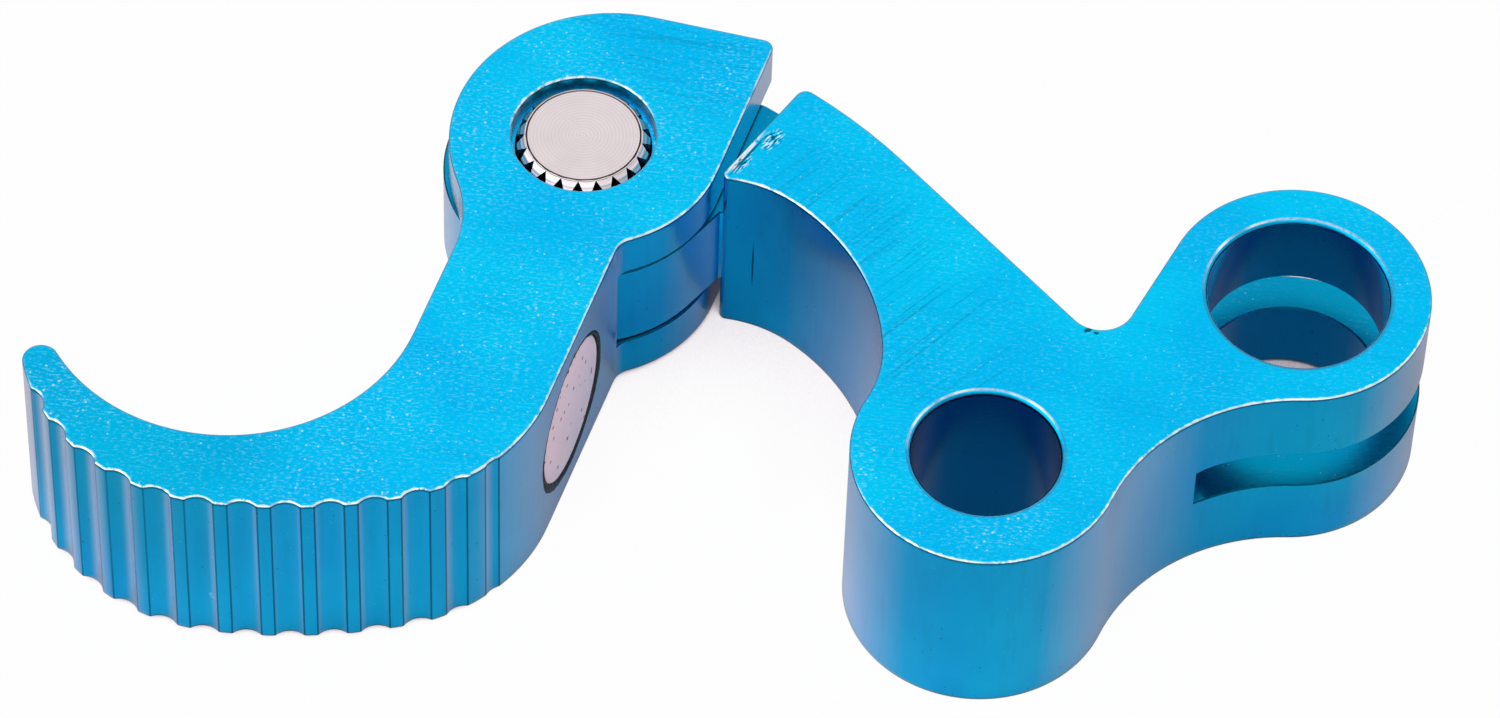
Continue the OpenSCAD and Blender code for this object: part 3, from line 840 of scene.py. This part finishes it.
def knurl_mesh(crest, top, length, material):
    """The ring of teeth as a plain mesh."""
    sizes = bpy.context.scene.lever_sizes
    tree = knurl_tree()
    carrier = bpy.data.objects.new("knurl_carrier", bpy.data.meshes.new("knurl_carrier"))
    bpy.context.scene.collection.objects.link(carrier)
    modifier = carrier.modifiers.new("Knurl ring", "NODES")
    modifier.node_group = tree
    overlap = 0.06 * MM
    width = math.tau * (crest - sizes.tooth_depth) / sizes.teeth
    inputs = {
        "Teeth": sizes.teeth, "Crest radius": crest,
        "Tooth size": (sizes.tooth_depth + overlap, width, length),
        "Tip share": 0.45, "Slope": sizes.tooth_depth,
        "Place": (HINGE.x, HINGE.y, top - 0.01 * MM - length / 2), "Material": material}
    for item in tree.interface.items_tree:
        if item.in_out == "INPUT":
            modifier[item.identifier] = inputs[item.name]
    graph = bpy.context.evaluated_depsgraph_get()
    mesh = bpy.data.meshes.new_from_object(carrier.evaluated_get(graph))
    mesh.name = "hinge_pin_teeth"
    carrier.modifiers.remove(modifier)
    bpy.data.objects.remove(carrier)
    return mesh


class LEVER_OT_magnet(bpy.types.Operator):
    """Makes the magnet and the bond around it"""
    bl_idname = "lever.magnet"
    bl_label = "Magnet"

    def execute(self, context):
        sizes = context.scene.lever_sizes
        shape = merged_copy("magnet")
        front = max(shape.faces, key=lambda f: f.calc_area() * (1 if f.normal.x > 0.5 else 0))
        facing = front.normal.copy()
        centre = front.calc_center_median()
        radius = max((v.co - centre).length for v in front.verts)
        rims = [e for e in shape.edges if e.calc_face_angle(0) > math.radians(60)]
        bevelled(shape, rims, sizes.magnet_round, 4, slide=False)
        disc = new_piece("magnet_disc", to_mesh(shape, "magnet_disc", math.radians(35)), [nickel_plate()])
        settle(disc, "lever", "magnet")
        bead = new_piece("magnet_bond", bead_mesh(centre, facing, radius, sizes.bead_radius), [black_bond()])
        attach(bead, "lever")
        return {"FINISHED"}


def bead_mesh(centre, facing, radius, half_width):
    """An uneven bead of bond that fills the gap around the magnet."""
    shape = bmesh.new()
    up = Vector((0, 0, 1))
    side = up.cross(facing)
    turns, sides = 180, 10
    rings = []
    for i in range(turns):
        a = math.tau * i / turns
        out = side * math.cos(a) + up * math.sin(a)
        uneven = noise.noise(Vector((math.cos(a) * 3, math.sin(a) * 3, 1.7)))
        rough = noise.noise(Vector((math.cos(a) * 14, math.sin(a) * 14, 5.2)))
        # The bond swelled at the lower left and on the right
        low_left = max(0.0, math.cos(a - math.radians(225))) ** 6
        low_right = max(0.0, math.cos(a + math.radians(25))) ** 3
        swell = 0.55 + 0.9 * low_left + 0.6 * low_right + 0.2 * uneven + 0.2 * rough
        middle = centre + out * (radius + 0.08 * MM + 0.05 * MM * uneven)
        ring = []
        for k in range(sides):
            b = math.tau * k / sides
            reach = half_width * swell
            ring.append(shape.verts.new(
                middle + out * math.cos(b) * reach * 1.15 + facing * math.sin(b) * reach * 0.6))
        rings.append(ring)
    for i in range(turns):
        here, there = rings[i], rings[(i + 1) % turns]
        for k in range(sides):
            m = (k + 1) % sides
            shape.faces.new((here[k], there[k], there[m], here[m]))
    bmesh.ops.recalc_face_normals(shape, faces=shape.faces[:])
    return to_mesh(shape, "magnet_bond", math.radians(80))


# Soft panels: place from the object's middle and size in metres, and radiance
PANELS = {
    "front_panel": ((0.05, -0.4, 0.5), 0.4, 0.8),
    "left_panel": ((-0.5, -0.1, 0.4), 0.8, 1.3),
    "right_panel": ((0.5, 0.15, 0.45), 0.4, 0.3),
}
FLOOR_HALF = 3.0


class LEVER_OT_stage(bpy.types.Operator):
    """Makes the camera, the white floor and the lights"""
    bl_idname = "lever.stage"
    bl_label = "Stage"

    def execute(self, context):
        scene = context.scene
        scene.view_settings.view_transform = "Standard"
        place_camera(scene)
        half = FLOOR_HALF
        floor_mesh = bpy.data.meshes.new("floor")
        floor_mesh.from_pydata(
            [(-half, -half, 0), (half, -half, 0), (half, half, 0), (-half, half, 0)], [], [(0, 1, 2, 3)])
        floor = new_piece("floor", floor_mesh, [studio_paper()])
        light_world(scene)
        middle = (cad_box[0] + cad_box[1]) / 2
        # Three panels light the floor; none stands where the flat tops mirror the world
        for name, (offset, size, radiance) in PANELS.items():
            soft_panel(name, middle, Vector(offset), size, radiance)
        return {"FINISHED"}


def place_camera(scene):
    """The photograph's camera."""
    view = scene.lever_view
    turn = Matrix.Rotation(view.azimuth, 3, "Z")
    aim = Vector((0, 0, BRACKET_HIGH.z)) + turn @ PICTURE_MIDDLE
    right = turn @ Vector((1, 0, 0))
    back = turn @ Vector((0, -math.cos(view.elevation), math.sin(view.elevation)))
    up = back.cross(right)
    rolled = Matrix.Rotation(view.roll, 3, back)
    axes = Matrix((rolled @ right, rolled @ up, back)).transposed()
    data = bpy.data.cameras.new("camera")
    data.sensor_fit = "HORIZONTAL"
    data.sensor_width = 36.0
    data.lens = view.lens
    data.clip_start = 0.01
    data.clip_end = 20.0
    camera = bpy.data.objects.new("camera", data)
    camera.matrix_world = Matrix.Translation(aim + back * view.distance) @ axes.to_4x4()
    scene.collection.objects.link(camera)
    scene.camera = camera


def light_world(scene):
    """Even light from all round; the camera and the metal see it as white."""
    world = bpy.data.worlds.new("studio")
    scene.world = world
    world.use_nodes = True
    tree = world.node_tree
    tree.nodes.clear()
    rays = add(tree, "ShaderNodeLightPath")
    seen = greater(tree, rays.outputs["Is Camera Ray"], rays.outputs["Is Transmission Ray"])
    seen = greater(tree, seen, rays.outputs["Is Glossy Ray"])
    around = add(tree, "ShaderNodeBackground", {"Color": (*colour("#FBF6FA"), 1), "Strength": 0.22})
    white = add(tree, "ShaderNodeBackground", {"Color": (1, 1, 1, 1), "Strength": 1.0})
    mixed = add(
        tree, "ShaderNodeMixShader", {}, {0: seen, 1: around.outputs[0], 2: white.outputs[0]})
    add(tree, "ShaderNodeOutputWorld", {}, {"Surface": mixed.outputs[0]})


def soft_panel(name, middle, offset, size, radiance):
    """A square soft light that looks at the object; its power gives the radiance of its face."""
    data = bpy.data.lights.new(name, "AREA")
    data.shape = "SQUARE"
    data.size = size
    data.energy = radiance * math.pi * size * size
    lamp = bpy.data.objects.new(name, data)
    lamp.location = middle + offset
    lamp.rotation_euler = (-offset).to_track_quat("-Z", "Y").to_euler()
    bpy.context.scene.collection.objects.link(lamp)


class VIEW3D_PT_release_lever(bpy.types.Panel):
    """Lists the pieces of the folding release lever"""
    bl_label = "Release lever"
    bl_space_type = "VIEW_3D"
    bl_region_type = "UI"
    bl_category = "Release lever"

    def draw(self, context):
        layout = self.layout
        for operator in OPERATORS:
            layout.operator(operator.bl_idname)
        for settings in (context.scene.lever_sizes, context.scene.lever_finish, context.scene.lever_view):
            box = layout.box()
            for key in settings.__annotations__:
                box.prop(settings, key)


OPERATORS = (LEVER_OT_stage, LEVER_OT_bracket, LEVER_OT_hook, LEVER_OT_pin, LEVER_OT_magnet)
CLASSES = (LeverSizes, LeverFinish, LeverView, *OPERATORS, VIEW3D_PT_release_lever)


def register():
    for item in CLASSES:
        bpy.utils.register_class(item)
    bpy.types.Scene.lever_sizes = PointerProperty(type=LeverSizes)
    bpy.types.Scene.lever_finish = PointerProperty(type=LeverFinish)
    bpy.types.Scene.lever_view = PointerProperty(type=LeverView)


def unregister():
    del bpy.types.Scene.lever_view
    del bpy.types.Scene.lever_finish
    del bpy.types.Scene.lever_sizes
    for item in reversed(CLASSES):
        bpy.utils.unregister_class(item)


def main():
    register()
    bpy.ops.lever.stage()
    bpy.ops.lever.bracket()
    bpy.ops.lever.hook()
    bpy.ops.lever.pin()
    bpy.ops.lever.magnet()


if __name__ == "__main__":
    main()
